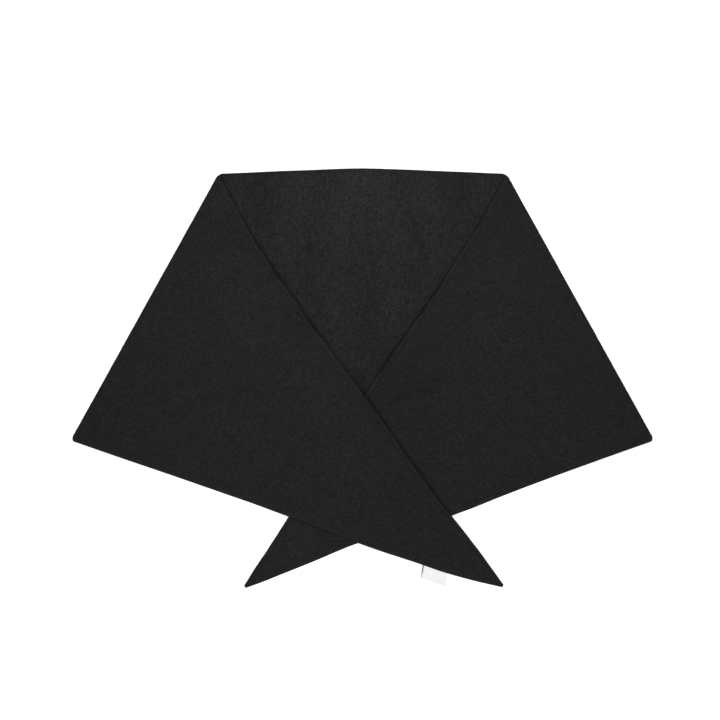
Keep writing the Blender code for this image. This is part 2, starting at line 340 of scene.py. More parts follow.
# Detail of the fibres' noise, and metres from one thread of the tape to the next.
FIBRE_DETAIL = 1.5
WEFT_PITCH = 0.00034
WARP_PITCH = 0.00052

# Steps in which a front's flat area is added up.
AREA_STEPS = 400

# Names of the map and of what each point says.
UV_MAP = "OFBake"
PLAN = "cloth_plan"
REVERSE = "reverse_side"
EDGE_PAINTED_LIGHT = "edge_tone"
LIGHT_AND_LAY = "nap_lay"
STRAND = "strand_place"
TAPE = "tape_place"
SELVEDGE = "tape_selvedge"


def ease(value, start, end):
    """0 before start, 1 past end, and a soft S between them."""
    share = np.clip((value - start) / (end - start), 0.0, 1.0)
    return share * share * (3.0 - 2.0 * share)


def bump(distance, half_width):
    """A soft rounded hump: 1 at no distance, nearly 0 past twice the half width."""
    return np.exp(-((distance / half_width) ** 2))


def smooth_curve(rows, column):
    """Smooth curve through one column of a table, read by the table's first column."""
    places = np.array([row[0] for row in rows])
    values = np.array([row[column] for row in rows])
    slopes = np.gradient(values, places)

    def read(place):
        place = np.asarray(place, float)
        i = np.clip(np.searchsorted(places, place) - 1, 0, len(places) - 2)
        span = places[i + 1] - places[i]
        s = np.clip((place - places[i]) / span, 0.0, 1.0)
        start = (1.0 + 2.0 * s) * (1.0 - s) ** 2 * values[i]
        leave = s * (1.0 - s) ** 2 * span * slopes[i]
        end = s * s * (3.0 - 2.0 * s) * values[i + 1]
        arrive = s * s * (s - 1.0) * span * slopes[i + 1]
        before = slopes[0] * np.minimum(place - places[0], 0.0)
        after = slopes[-1] * np.maximum(place - places[-1], 0.0)
        return start + leave + end + arrive + before + after

    return read


def soft_noise(x, y, cell, seed):
    """Smooth seeded noise from -1 to 1 over the plan, with humps about one cell wide."""
    count = 256
    lattice = np.random.default_rng(seed).uniform(-1.0, 1.0, (count, count))
    u, v = x / cell + count, y / cell + count
    i, j = np.floor(u).astype(int), np.floor(v).astype(int)
    s, t = ease(u - i, 0.0, 1.0), ease(v - j, 0.0, 1.0)
    i, j, i_next, j_next = i % count, j % count, (i + 1) % count, (j + 1) % count
    low = lattice[i, j] * (1.0 - s) + lattice[i_next, j] * s
    high = lattice[i, j_next] * (1.0 - s) + lattice[i_next, j_next] * s
    return low * (1.0 - t) + high * t


# --- Heights of the laid layers ---


class Front:
    """One folded-over end of the scarf: its frame along the fold, its two edges and its soft relief."""

    def __init__(self, side, edges, lifts, creases, row):
        self.side = side
        self.pull = smooth_curve(row, 1)
        self.row = smooth_curve(row, 2)
        self.dark = smooth_curve(row, 3)
        self.inner = smooth_curve(edges, 1)
        self.lower = smooth_curve(edges, 2)
        self.tip_reach = edges[-1][0]
        self.lifts = lifts
        self.creases = creases

    def plan(self, reach, run):
        """Laid x and y of a place on the front."""
        x = self.side * (NECK_SPAN / 2.0 - RUN_Y * reach + RUN_X * run)
        y = NECK_Y - RUN_X * reach - RUN_Y * run
        return x, y

    def fold_place(self, x, y):
        """Reach and run of a laid x and y."""
        across = NECK_SPAN / 2.0 - self.side * x
        down = NECK_Y - y
        return RUN_Y * across + RUN_X * down, RUN_Y * down - RUN_X * across

    def slopes(self, reach):
        """How far the inner and the lower edge move down the run for each step of reach."""
        inner = (self.inner(reach + 1.0) - self.inner(reach - 1.0)) / 2.0
        lower = (self.lower(reach + 1.0) - self.lower(reach - 1.0)) / 2.0
        return inner, lower

    def inset(self, x, y):
        """Distance in from the nearest free edge; below 0 outside the front."""
        reach, run = self.fold_place(x, y)
        slope, _ = self.slopes(reach)
        from_inner = (run - self.inner(reach)) / np.hypot(1.0, slope)
        return np.minimum(np.minimum(from_inner, self.lower(reach) - run), self.tip_reach - reach)

    def relief(self, x, y):
        """Height of the edge lifts and creases."""
        reach, run = self.fold_place(x, y)
        from_edge = run - self.inner(reach)
        height = np.zeros_like(x)
        for at, high, half_length, half_width in self.lifts:
            height = height + high * bump(reach - at, half_length) * bump(from_edge, half_width)
        for from_x, from_y, to_x, to_y, high, half_width in self.creases:
            along = (x - from_x) * (to_x - from_x) + (y - from_y) * (to_y - from_y)
            share = np.clip(along / ((to_x - from_x) ** 2 + (to_y - from_y) ** 2), 0.0, 1.0)
            away = np.hypot(x - from_x - share * (to_x - from_x), y - from_y - share * (to_y - from_y))
            height = height + high * bump(away, half_width)
        return height


LEFT = Front(-1.0, LEFT_EDGES, LEFT_LIFTS, LEFT_CREASES, LEFT_ROW)
RIGHT = Front(1.0, RIGHT_EDGES, RIGHT_LIFTS, RIGHT_CREASES, RIGHT_ROW)


def neck_edge(x):
    """Laid y of the neck edge, which rises a little to the middle."""
    share = np.hypot(2.0 * x / NECK_SPAN, NECK_RISE_ROUND)
    return NECK_Y + NECK_RISE * (1.0 - share) / (1.0 - NECK_RISE_ROUND)


def clear_of_fronts(x, y):
    """Distance out from the two fronts; below 0 under them."""
    return -np.maximum(LEFT.inset(x, y), RIGHT.inset(x, y))


def ripple(x, y):
    """Height of the back stretch's ripples, which die out towards the fronts and the hidden hem."""
    drop = (NECK_Y - y) / (NECK_Y - RIPPLE_LOW_Y)
    height = np.zeros_like(x)
    for neck_x, low_x, neck_high, low_high, half_width in RIPPLES:
        high = neck_high + (low_high - neck_high) * np.clip(drop, 0.0, 1.0)
        height = height + high * bump(x - neck_x - (low_x - neck_x) * drop, half_width)
    return height * ease(y, *RIPPLE_FADE) * ease(clear_of_fronts(x, y), *RIPPLE_MARGIN)


def patches(x, y):
    """How much lighter a place is painted: partly light and shade, partly the nap's brushed tone."""
    tone = np.zeros_like(x)
    for at_x, at_y, half_width, lighter in LIGHT_AND_NAP_PATCHES:
        tone = tone + lighter * bump(np.hypot(x - at_x, y - at_y), half_width)
    return tone


def on_back(y, start):
    """1 over the back stretch, 0 well past its hem."""
    return ease(y - HEM_Y, -start - DRAPE_WIDTH, -start)


def right_height(x, y):
    """Height of the right front's underside."""
    return LAYER * on_back(y, DRAPE_START) + RIGHT.relief(x, y)


def left_height(x, y):
    """Height of the left front's underside, which lies on the back stretch and on the right front."""
    on_right = ease(RIGHT.inset(x, y), -DRAPE_START - DRAPE_WIDTH, -DRAPE_START)
    back_start = DRAPE_START + DRAPE_STAGGER * on_right
    lower_layers = LAYER * (on_back(y, back_start) + on_right) + RIGHT.relief(x, y) * on_right
    return lower_layers + LEFT.relief(x, y)


def corner_inset(radius, distance):
    """How far a rounded corner cuts an edge back, at a distance in from the fold."""
    short = max(radius - distance, 0.0)
    return radius - math.sqrt(radius * radius - short * short)


def turned_under_edges(reach):
    """Runs of the neck edge and the hem on the layer under the fold."""
    half_neck = NECK_SPAN / 2.0
    neck_slope = (neck_edge(half_neck - FOLD_REACH) - neck_edge(half_neck)) / FOLD_REACH
    neck = -reach * (RUN_X + RUN_Y * neck_slope) / (RUN_Y - RUN_X * neck_slope)
    hem = FOLD_LENGTH - reach * RUN_X / RUN_Y
    return neck, hem


# --- Slices of the cloth ---


class Edge:
    """One edge of a slice: its run, its slant, how far along the cloth's edge it lies, its sewing, and the
    width of the shade painted along it.
    """

    def __init__(self, run, inward, cosine):
        self.run = run - inward * EDGE_FULL / cosine
        self.inward = inward
        self.cosine = cosine
        self.travel = 0.0
        self.pull = 1.0
        self.row = EDGE_ROW
        self.dark = OUTER_DARK

    def distance(self, run):
        """How far in from the edge a run is."""
        return (run - self.run) * self.inward * self.cosine

    def inside(self, distance):
        """The run that is this far in from the edge."""
        return self.run + self.inward * distance / self.cosine


class Slice:
    """One cut across the cloth, from its neck or inner edge down to its hem or lower edge."""

    def __init__(self, origin, way, out, lean, middle, ends, cosines, unfolded_origin):
        self.origin = np.array(origin)
        self.way = np.array(way)
        self.out = np.array(out)
        self.lean = lean
        self.middle = middle
        self.low = Edge(ends[0], 1.0, cosines[0])
        self.high = Edge(ends[1], -1.0, cosines[1])
        self.unfolded_origin = np.array(unfolded_origin)
        self.strip = 0.0
        self.from_tip = math.inf
        self.evenness = 0.0

    def place(self, run, offset):
        """Points at these runs, moved out from the cloth's middle by these offsets."""
        outward = offset * math.cos(self.lean)
        x = self.origin[0] + self.way[0] * run + self.out[0] * outward
        y = self.origin[1] + self.way[1] * run + self.out[1] * outward
        return np.stack((x, y, self.middle(x, y) + offset * math.sin(self.lean)), axis=-1)

    def normal(self):
        """The way that the upper side looks."""
        return np.array((*(self.out * math.cos(self.lean)), math.sin(self.lean)))

    def width(self):
        """Distance between the two edges."""
        return (self.high.run - self.low.run) * (self.low.cosine + self.high.cosine) / 2.0

    def columns(self):
        """Runs of the upper side's columns, close together beside the edges."""
        zone = EDGE_COLUMNS * min(1.0, EDGE_ZONE_SHARE * self.width() / EDGE_COLUMNS[-1])
        low, high = self.low.inside(zone), self.high.inside(zone)
        return np.concatenate((low, np.linspace(low[-1], high[-1], MIDDLE_COLUMNS + 2)[1:-1], high[::-1]))

    def inset(self, run):
        """Distance in from the nearest free edge."""
        return np.minimum(np.minimum(self.low.distance(run), self.high.distance(run)), self.from_tip)

    def of_nearer_edge(self, run, name):
        """What the nearer of the two edges has under this name."""
        nearer_low = self.low.distance(run) < self.high.distance(run)
        return np.where(nearer_low, getattr(self.low, name), getattr(self.high, name))

    def unfolded(self, run):
        """Places on the cut cloth, laid out in the plane of the back stretch."""
        return self.unfolded_origin + np.multiply.outer(run, self.way)

    def half_thickness(self, run):
        """Half of the cloth's thickness, which rounds off to the seam in its edge."""
        share = np.clip(self.inset(run) / EDGE_ROUNDING, 0.0, 1.0)
        rounded = (1.0 - (1.0 - share) ** EDGE_FULLNESS) ** (1.0 / EDGE_FULLNESS)
        return np.maximum(HALF * rounded, SEAM_LIP)

    def groove(self, run, sewing):
        """Depth of the groove that the stitches pull, deepest at the needle holes."""
        travel, pull, row = (self.of_nearer_edge(run, name) for name in ("travel", "pull", "row"))
        at_hole = np.cos(2.0 * math.pi * travel * MM / sewing.pitch)
        pull = pull * (1.0 - HOLE_SHARE + HOLE_SHARE * at_hole)
        across = bump(self.inset(run) - row, sewing.groove_half_width / MM)
        return sewing.groove_depth / MM * pull * across

    def upper(self, run, cloth, sewing, groove_share):
        """Offset of the upper side."""
        inset = self.inset(run)
        x, y = self.unfolded(run).T
        faces_up = ease(math.sin(self.lean), *FACES_UP)
        rim = cloth.rim_height / MM * bump(inset - cloth.rim_distance / MM, RIM_HALF_WIDTH)
        allowance = 1.0 - ease(inset - cloth.allowance / MM, -ALLOWANCE_BLEND, ALLOWANCE_BLEND)
        unevenness = sum(0.5 * soft_noise(x, y, cell, seed) for cell, seed in UNEVENNESS)
        relief = (
            rim
            + cloth.allowance_height / MM * allowance * ease(inset, 0.0, EDGE_ROUNDING)
            + cloth.unevenness / MM * unevenness * ease(inset, 0.0, UNEVENNESS_START)
        )
        relief = relief * faces_up * (1.0 - self.evenness)
        return self.half_thickness(run) + relief - self.groove(run, sewing) * groove_share

    def under(self, run, sewing, groove_share):
        """Offset of the underside."""
        return self.groove(run, sewing) * groove_share - self.half_thickness(run)

    def edge_tone(self, run, colours, on_reverse, pressed):
        """How light the cloth is painted beside its edges: painted shade at the turned seam and in the
        stitches' groove, and a painted highlight on the face's rim that is painted shade on the reverse's.
        """
        inset = self.inset(run)
        dark = SEAM_START + np.maximum(self.of_nearer_edge(run, "dark"), LEAST_DARK)
        fade = ease(inset, np.maximum(dark - SEAM_BLEND, SEAM_START), dark)
        seam = colours.seam_painted_shade + (1.0 - colours.seam_painted_shade) * fade
        painted = colours.rim_painted_light * (1.0 - REVERSE_RIM_SHADE * on_reverse) * (1.0 - ease(inset, *RIM_LIGHT_FADE))
        return seam * (1.0 + painted) * (1.0 - colours.groove_painted_shade * pressed)


def measure_edges(slices):
    """Tells each slice how far along the two edges it lies."""
    for before, cut in zip(slices, slices[1:]):
        for was, edge in ((before.low, cut.low), (before.high, cut.high)):
            step = cut.place(edge.run, 0.0) - before.place(was.run, 0.0)
            edge.travel = was.travel + float(np.linalg.norm(step))
    return slices


def wobble(front, reach):
    """How far the sewn inner edge strays from its smooth line."""
    tip = front.tip_reach
    still = ease(reach, FOLD_REACH, WOBBLE_FULL) * (1.0 - ease(reach, tip - WOBBLE_FULL, tip - WOBBLE_END))
    strays = [size * soft_noise(reach, 10.0 * front.side, cell, seed) for cell, size, seed in WOBBLE]
    return float(sum(strays) * still)


def front_slices(front, height_of):
    """Slices of a front from the end turned under the fold, round the fold, and out to the tip."""
    slices = []
    out = (front.side * RUN_Y, RUN_X)
    way = (front.side * RUN_X, -RUN_Y)

    def add(reach, lean, middle, ends, cosines, strip, from_tip=math.inf):
        unfolded = front.plan(-strip, 0.0)
        cut = Slice(front.plan(reach, 0.0), way, out, lean, middle, ends, cosines, unfolded)
        cut.strip, cut.from_tip = strip, from_tip
        cut.low.pull, cut.high.pull = float(front.pull(reach)), LOWER_PULL
        cut.low.row, cut.low.dark = float(front.row(reach)), float(front.dark(reach))
        slices.append(cut)

    def level(height):
        return lambda x, y: np.full_like(x, height)

    def laid(x, y):
        reach, _ = front.fold_place(x, y)
        settle = 1.0 - ease(reach, FOLD_REACH, FOLD_REACH + FOLD_SETTLE)
        return HALF + (2.0 * FOLD_HOLLOW - LAYER_GAP) * settle + height_of(x, y)

    def laid_cosines(reach):
        return 1.0 / np.hypot(1.0, front.slopes(reach))

    for reach in (TURN_UNDER, (TURN_UNDER + FOLD_REACH) / 2.0):
        add(reach, -math.pi / 2.0, level(HALF), turned_under_edges(reach), (RUN_Y, RUN_Y), -reach)
    for step in range(FOLD_STEPS + 1):
        lean = math.pi * (step / FOLD_STEPS - 0.5)
        reach = FOLD_REACH - FOLD_RADIUS * math.cos(lean)
        upper = (math.sin(lean) + 1.0) / 2.0
        neck, hem = turned_under_edges(reach)
        low = neck + (front.inner(reach) - neck) * upper
        high = hem + (front.lower(reach) - hem) * upper
        outermost = FOLD_REACH - (FOLD_RADIUS + HALF) * math.cos(lean)
        ends = (
            low + corner_inset(NECK_CORNER_RADIUS, outermost),
            high - corner_inset(HEM_CORNER_RADIUS, outermost),
        )
        cosines = RUN_Y + (laid_cosines(reach) - RUN_Y) * upper
        height = HALF + FOLD_RADIUS * (1.0 + math.sin(lean))
        add(reach, lean, level(height), ends, cosines, FOLD_REACH * lean * 2.0 / math.pi)

    tip = front.tip_reach
    steps = round((tip - FOLD_REACH) / FRONT_STEP)
    for reach in np.linspace(FOLD_REACH, tip, steps + 1)[1:]:
        ends = (float(front.inner(reach)) + wobble(front, reach), float(front.lower(reach)))
        add(reach, math.pi / 2.0, laid, ends, laid_cosines(reach), reach, tip + HALF - reach)
    middle = (front.inner(tip) + front.lower(tip)) / 2.0
    width = (front.lower(tip) - front.inner(tip)) / 2.0
    for turn in TIP_TURNS:
        reach = tip + HALF * math.sin(turn)
        narrow = width - HALF * (1.0 - math.cos(turn))
        ends = (middle - narrow, middle + narrow)
        add(reach, math.pi / 2.0, laid, ends, laid_cosines(tip), reach, tip + HALF - reach)
    return measure_edges(slices)


def back_slices():
    """Slices of the back stretch, which fan out from the neck edge between the two folds."""
    seam = TURN_UNDER + SEAM_CLEAR
    neck_run, hem_run = turned_under_edges(seam)
    neck_x, _ = RIGHT.plan(seam, neck_run)
    hem_x, _ = RIGHT.plan(seam, hem_run)
    slices = []
    for share in np.linspace(-1.0, 1.0, BACK_SLICES):
        top = np.array((share * neck_x, float(neck_edge(share * neck_x))))
        foot = np.array((share * hem_x, HEM_Y))
        length = float(np.linalg.norm(foot - top))
        way = (foot - top) / length
        upright = abs(way[1])
        cut = Slice(
            top, way, (1.0, 0.0), math.pi / 2.0, lambda x, y: HALF + ripple(x, y),
            (0.0, length), (upright, upright), top,
        )
        cut.evenness = 1.0 - ease((1.0 - abs(share)) * neck_x, 0.0, SEAM_SETTLE)
        slices.append(cut)
    return measure_edges(slices)


def front_chart(cut, run, is_upper):
    """Lays a front's two sides in one square map, with the underside turned about beside the inner edge."""
    reach = np.full_like(run, cut.strip)
    if is_upper:
        return (reach + FRONT_MAP_UPPER[0]) / FRONT_MAP, (run + FRONT_MAP_UPPER[1]) / FRONT_MAP
    return (FRONT_MAP_UNDER[0] - reach) / FRONT_MAP, (FRONT_MAP_UNDER[1] - run) / FRONT_MAP


def back_chart(cut, run, is_upper):
    """Lays the back's two sides in one square map, one above the other."""
    x, y = cut.unfolded(run).T
    start = BACK_MAP_UPPER if is_upper else BACK_MAP_UNDER
    return (x + BACK_MAP / 2.0) / BACK_MAP, (y - HEM_Y + start) / BACK_MAP


class Stretch:
    """One stretch of the scarf: its slices, how it is laid in a map, and what covers it."""

    def __init__(self, name, node, slices, chart, grain, reverse_up, room, slope):
        self.name = name
        self.node = node
        self.slices = slices
        self.chart = chart
        self.grain = grain
        self.reverse_up = reverse_up
        self.room = room
        self.slope = slope
        self.upper_groove, self.under_groove = (REVERSE_GROOVE, 1.0) if reverse_up else (1.0, REVERSE_GROOVE)

    def upper_grid(self, cloth, sewing):
        """Points and insets of the upper side, slice by slice."""
        runs = np.array([cut.columns() for cut in self.slices])
        points = np.array([
            cut.place(run, cut.upper(run, cloth, sewing, self.upper_groove))
            for cut, run in zip(self.slices, runs)
        ])
        insets = np.array([cut.inset(run) for cut, run in zip(self.slices, runs)])
        return points, insets


def laid_grain(front):
    """The cloth's grain on a front: the back's own y, mirrored in the fold line."""
    fold = np.array((front.side * RUN_X, -RUN_Y))
    return 2.0 * fold[1] * fold - np.array((0.0, 1.0))


def back_room(x, y):
    """Distance in from the outline of what shows of the back stretch."""
    return np.minimum(clear_of_fronts(x, y), neck_edge(x) - y)


def front_room(front):
    """Distance in from the outline of a front, and from the left front where that lies on it."""
    def room(x, y):
        reach, _ = front.fold_place(x, y)
        inside = np.minimum(front.inset(x, y), reach)
        return np.minimum(inside, -LEFT.inset(x, y)) if front is RIGHT else inside

    return room


def slope_of(height_of):
    """How steeply a relief rises to the right and down the page. The cloth is painted darker there, as shade,
    and lighter where the relief falls, as light.
    """
    def slope(x, y):
        right = (height_of(x + 1.0, y) - height_of(x - 1.0, y)) / 2.0
        down = (height_of(x, y - 1.0) - height_of(x, y + 1.0)) / 2.0
        return right + DOWN_SHARE * down

    return slope


STRETCHES = (
    Stretch(
        "back", "back_stretch", back_slices(), back_chart,
        np.array((0.0, 1.0)), True, back_room, slope_of(ripple),
    ),
    Stretch(
        "right_front", "right_front", front_slices(RIGHT, right_height), front_chart,
        laid_grain(RIGHT), False, front_room(RIGHT), slope_of(RIGHT.relief),
    ),
    Stretch(
        "left_front", "left_front", front_slices(LEFT, left_height), front_chart,
        laid_grain(LEFT), False, front_room(LEFT), slope_of(LEFT.relief),
    ),
)

# --- Mesh helpers ---


def new_piece(name, points, faces, finish):
    """A mesh piece in the row frame, from points in millimetres, that rides on the scarf's one body."""
    mesh = bpy.data.meshes.new(name)
    mesh.from_pydata((points * MM).tolist(), [], faces)
    mesh.materials.append(finish)
    item = bpy.data.objects.new(name, mesh)
    bpy.context.collection.objects.link(item)
    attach(item, "root")
    return item


def give_map(mesh, coordinates):
    """A UV map from one pair of coordinates for each face corner."""
    layer = mesh.uv_layers.new(name=UV_MAP)
    layer.data.foreach_set("uv", np.ascontiguousarray(coordinates, np.float32).ravel())


def give(mesh, name, values, kind="value"):
    """One value, or one vector, for each point."""
    made = mesh.attributes.new(name, {"value": "FLOAT", "vector": "FLOAT_VECTOR"}[kind], "POINT")
    made.data.foreach_set(kind, np.ascontiguousarray(values, np.float32).ravel())


def ring_quads(rings, size):
    """Quads between rings of points that follow each other, with the first ring's corners first."""
    i = np.arange(size)
    j = (i + 1) % size
    base = np.arange(rings - 1)[:, None] * size
    return np.stack((base + i, base + j, base + size + j, base + size + i), axis=2).reshape(-1, 4)


def unit(vectors):
    """The same ways, each one long."""
    return vectors / np.linalg.norm(vectors, axis=-1, keepdims=True)


def safe_unit(vectors):
    """The same ways, each one long, but for those that have next to no length."""
    return vectors / np.maximum(np.linalg.norm(vectors, axis=-1, keepdims=True), 1e-6)


def smooth(mesh, sharp_degrees):
    """Shade smooth, but for edges that turn by more than this."""
    mesh.shade_smooth()
    mesh.set_sharp_from_angle(angle=math.radians(sharp_degrees))


def under_columns():
    """Numbers of the upper columns that the underside has too."""
    edge = np.array(EDGE_COLUMNS_UNDER)
    middle = len(EDGE_COLUMNS) + np.arange(MIDDLE_UNDER_EVERY - 1, MIDDLE_COLUMNS, MIDDLE_UNDER_EVERY)
    last = 2 * len(EDGE_COLUMNS) + MIDDLE_COLUMNS - 1
    return np.concatenate((edge, middle, last - edge[::-1]))


def make_shell(stretch, cloth, sewing, colours, finish):
    """The closed shell of one stretch: upper side, seam in the edge, underside, seam in the other edge."""
    shared = under_columns()
    rows = []
    for cut in stretch.slices:
        run = cut.columns()
        under_run = run[shared][::-1]
        low, high = cut.low, cut.high
        ring_run = np.concatenate((run, [high.inside(SEAM_DEPTH)], under_run, [low.inside(SEAM_DEPTH)]))
        upper = cut.upper(run, cloth, sewing, stretch.upper_groove)
        under = cut.under(under_run, sewing, stretch.under_groove)
        offset = np.concatenate((upper, [0.0], under, [0.0]))
        chart_run = np.concatenate((run, [high.run + SEAM_DEPTH], under_run, [low.run - SEAM_DEPTH]))
        is_top = np.arange(len(ring_run)) < len(run)
        pressed = cut.groove(ring_run, sewing) * np.where(is_top, stretch.upper_groove, stretch.under_groove)
        rows.append({
            "points": cut.place(ring_run, offset),
            "plan": np.column_stack((cut.unfolded(ring_run), offset)) * MM,
            "tone": cut.edge_tone(ring_run, colours, is_top == stretch.reverse_up, pressed),
            "upper_map": np.stack(stretch.chart(cut, chart_run, True), axis=1),
            "under_map": np.stack(stretch.chart(cut, chart_run, False), axis=1),
        })
    ring = {key: np.array([row[key] for row in rows]) for key in rows[0]}
    count, size = ring["points"].shape[:2]
    top = len(run)

    quads = ring_quads(count, size)
    number = np.arange(size)
    is_upper = (number < top) | (number == size - 1)

    below = top + 1 + np.arange(len(shared))[::-1]
    caps = [[size - 1, 0, below[0]], [top - 1, top, below[-1]]]
    for a, b, first, second in zip(shared, shared[1:], below, below[1:]):
        caps.append([*range(a, b + 1), second, first])
    first_cap = [[int(v) for v in reversed(face)] for face in caps]
    last_cap = [[int(v) + (count - 1) * size for v in face] for face in caps]

    middle = top // 2
    probe = ring["points"][:, middle:middle + 2]
    along = probe[count // 2 + 1, 0] - probe[count // 2, 0]
    across = probe[count // 2, 1] - probe[count // 2, 0]
    inside_out = np.cross(across, along)[2] < 0.0

    faces = quads.tolist() + first_cap + last_cap
    if inside_out:
        faces = [face[::-1] for face in faces]
    corners = np.concatenate(faces)
    on_upper = np.zeros((len(corners), 1), bool)
    on_upper[:quads.size, 0] = np.tile(is_upper, count - 1).repeat(4)

    item = new_piece(stretch.name + "_cloth", ring["points"].reshape(-1, 3), faces, finish)
    mesh = item.data
    flat = {key: value.reshape(count * size, -1) for key, value in ring.items()}
    give_map(mesh, np.where(on_upper, flat["upper_map"][corners], flat["under_map"][corners]))
    give(mesh, PLAN, flat["plan"], "vector")
    give(mesh, EDGE_PAINTED_LIGHT, flat["tone"])
    upper_point = np.tile(number < top, count)
    give(mesh, REVERSE, upper_point == stretch.reverse_up)
    x, y, _ = flat["points"].T
    # Painted light and shade on the upper side: the wide patches, partly the nap's tone, less the slopes.
    give(mesh, LIGHT_AND_LAY, (patches(x, y) - stretch.slope(x, y)) * upper_point)
    smooth(mesh, CLOTH_SHARP)
    return item


def strands(name, lines, across, up, radii, sides, cells, finish, end_caps=2):
    """Many thin rods as one piece. Each has a centre line, the two ways across it, and a radius a ring."""
    count, rings = lines.shape[:2]
    turns = 2.0 * math.pi * np.arange(sides) / sides
    spokes = across[:, :, None] * np.cos(turns)[:, None] + up[:, :, None] * np.sin(turns)[:, None]
    points = lines[:, :, None] + spokes * radii[..., None, None]
    size = rings * sides

    quads = ring_quads(rings, sides)
    ends = [list(range(sides))[::-1], list(range(size - sides, size))][:end_caps]
    start = (np.arange(count) * size)[:, None, None]
    faces = (quads + start).reshape(-1, 4).tolist()
    for end in ends:
        faces += (np.array(end) + start[:, :, 0]).tolist()
    item = new_piece(name, points.reshape(-1, 3), faces, finish)

    along = np.repeat(np.linspace(0.0, 1.0, rings), sides)
    places = np.zeros((count, size, 3))
    places[..., 0] = cells[:, None]
    places[..., 1] = along
    give(item.data, STRAND, places, "vector")
    cell = np.stack((cells % CELLS, cells // CELLS), axis=1)[:, None] / CELLS
    i = np.arange(sides)
    wrap = np.tile(np.stack((i, i + 1, i + 1, i), axis=1), (rings - 1, 1)) / sides
    rise = np.repeat(np.arange(rings - 1), sides)[:, None] + np.array((0, 0, 1, 1))
    side_map = np.stack((wrap, rise / (rings - 1)), axis=2).reshape(1, -1, 2)
    margin, inner = CELL_MARGIN / CELLS, (1.0 - 2.0 * CELL_MARGIN) / CELLS
    side_map = (cell + margin + side_map * inner).reshape(-1, 2)
    cap_maps = []
    for end, height in zip(ends, (0.0, 1.0)):
        corner = np.stack((np.array(end) / sides, np.full(sides, height)), axis=1)[None]
        cap_maps.append((cell + margin + corner * inner).reshape(-1, 2))
    give_map(item.data, np.concatenate([side_map] + cap_maps))
    item.data.shade_smooth()
    return item


# --- Materials ---


class Signal:
    """A socket of a material's nodes, which can be used in Python arithmetic."""

    def __init__(self, look, socket):
        self.look = look
        self.socket = socket

    def maths(self, operation, first, second):
        return self.look.node("ShaderNodeMath", {"operation": operation}, {0: first, 1: second})

    def __add__(self, other):
        return self.maths("ADD", self, other)

    __radd__ = __add__

    def __sub__(self, other):
        return self.maths("SUBTRACT", self, other)

    def __rsub__(self, other):
        return self.maths("SUBTRACT", other, self)

    def __mul__(self, other):
        return self.maths("MULTIPLY", self, other)

    __rmul__ = __mul__

    def __truediv__(self, other):
        return self.maths("DIVIDE", self, other)

    def __pow__(self, other):
        return self.maths("POWER", self, other)


class Look:
    """One material in the making: adds nodes, and joins values or other nodes to their sockets."""

    def __init__(self, name):
        self.material = bpy.data.materials.new(name)
        self.material.use_nodes = True
        self.tree = self.material.node_tree
        self.surface = self.tree.nodes["Principled BSDF"]

    def feed(self, socket, value):
        """Join a signal to a socket, or set the socket to a plain value."""
        if isinstance(value, Signal):
            self.tree.links.new(value.socket, socket)
        else:
            socket.default_value = value

    def node(self, kind, settings=None, sockets=None, out=0):
        """Add a node: its settings first, then its sockets. Returns one of its outputs."""
        made = self.tree.nodes.new(kind)
        for key, value in (settings or {}).items():
            setattr(made, key, value)
        for key, value in (sockets or {}).items():
            self.feed(made.inputs[key], value)
        return Signal(self, made.outputs[out])

    def finish(self, sockets):
        """Set the surface's own sockets and hand the material over."""
        for key, value in sockets.items():
            self.feed(self.surface.inputs[key], value)
        return self.material

    def attribute(self, name, out="Vector"):
        """What each point of the mesh says under this name."""
        return self.node("ShaderNodeAttribute", {"attribute_name": name}, out=out)

    def part(self, vector, axis):
        """One of a vector's three numbers."""
        return self.node("ShaderNodeSeparateXYZ", sockets={"Vector": vector}, out=axis)

    def noise(self, place, feature, detail=1.0):
        """Soft noise about 0, with features of this size in metres along x, y and z."""
        scaled = self.node(
            "ShaderNodeVectorMath", {"operation": "MULTIPLY"},
            {0: place, 1: tuple(1.0 / size for size in feature)},
        )
        return self.node("ShaderNodeTexNoise", {}, {"Vector": scaled, "Scale": 1.0, "Detail": detail}) - 0.5

    def fibres(self, place, degrees, across, along):
        """Noise drawn out into fibres that lie at an angle to the grain."""
        turned = self.node(
            "ShaderNodeVectorRotate", {"rotation_type": "Z_AXIS"},
            {"Vector": place, "Angle": math.radians(degrees)},
        )
        return self.noise(turned, (across, along, across), FIBRE_DETAIL)

    def sine(self, value):
        """A wave from -1 to 1."""
        return self.node("ShaderNodeMath", {"operation": "SINE"}, {0: value})

    def limited(self, value):
        """A signal kept between 0 and 1."""
        return self.node("ShaderNodeClamp", {}, {"Value": value, "Min": 0.0, "Max": 1.0})

    def mix(self, share, first, second):
        """Blend of two colours."""
        return self.node("ShaderNodeMix", {"data_type": "RGBA"}, {0: share, 6: first, 7: second}, out=2)

    def shades(self, share, base, dark, light):
        """Blend of two tones of one colour, each so many times as light as the colour itself."""
        tones = [tuple(channel * level for channel in base) + (1.0,) for level in (dark, light)]
        return self.mix(share, *tones)

    def raised(self, height, distance, strength):
        """Normal of a surface with this fine relief."""
        sockets = {"Height": height, "Distance": distance, "Strength": strength}
        return self.node("ShaderNodeBump", {}, sockets, out="Normal")


def grey(level):
    """A neutral colour."""
    return (level, level, level, 1.0)


def strand_place(look):
    """How far along its thread or hair a point is, and the number of its cell."""
    place = look.attribute(STRAND)
    return look.part(place, "Y"), look.part(place, "X")


